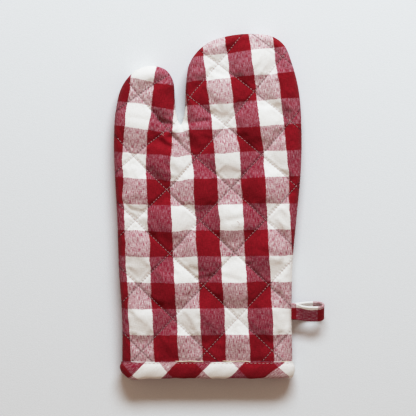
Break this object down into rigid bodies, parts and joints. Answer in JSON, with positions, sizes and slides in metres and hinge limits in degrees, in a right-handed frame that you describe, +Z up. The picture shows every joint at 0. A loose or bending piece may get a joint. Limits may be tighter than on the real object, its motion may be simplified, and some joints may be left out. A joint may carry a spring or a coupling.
{
  "type": "quilted oven mitt",
  "caption": "Quilted gingham oven mitt for one hand, with a thumb, a bound cuff and a hanging loop, lying flat on its back.",
  "frame": {"origin": "middle of the mitt's outer box, on the surface it lies on", "axes": "+Y from the cuff to the fingertips, +X to the side of the hanging loop, +Z up from the surface, front panel upwards"},
  "size_m": [0.1981, 0.3251, 0.0226],
  "materials": {
    "front_cloth": "quilted cotton gingham in deep red, heathered pink and off-white, matt",
    "back_cloth": "quilted cotton gingham in deep red, heathered pink and off-white, matt",
    "binding_cloth": "the same gingham cut on the slant and folded over the cuff's edge, matt",
    "loop_cloth": "folded strap of the same gingham, matt"
  },
  "bodies": {
    "root": {"front_panel": "front_cloth", "back_panel": "back_cloth", "cuff_binding": "binding_cloth", "hanging_loop": "loop_cloth"}
  },
  "joints": []
}
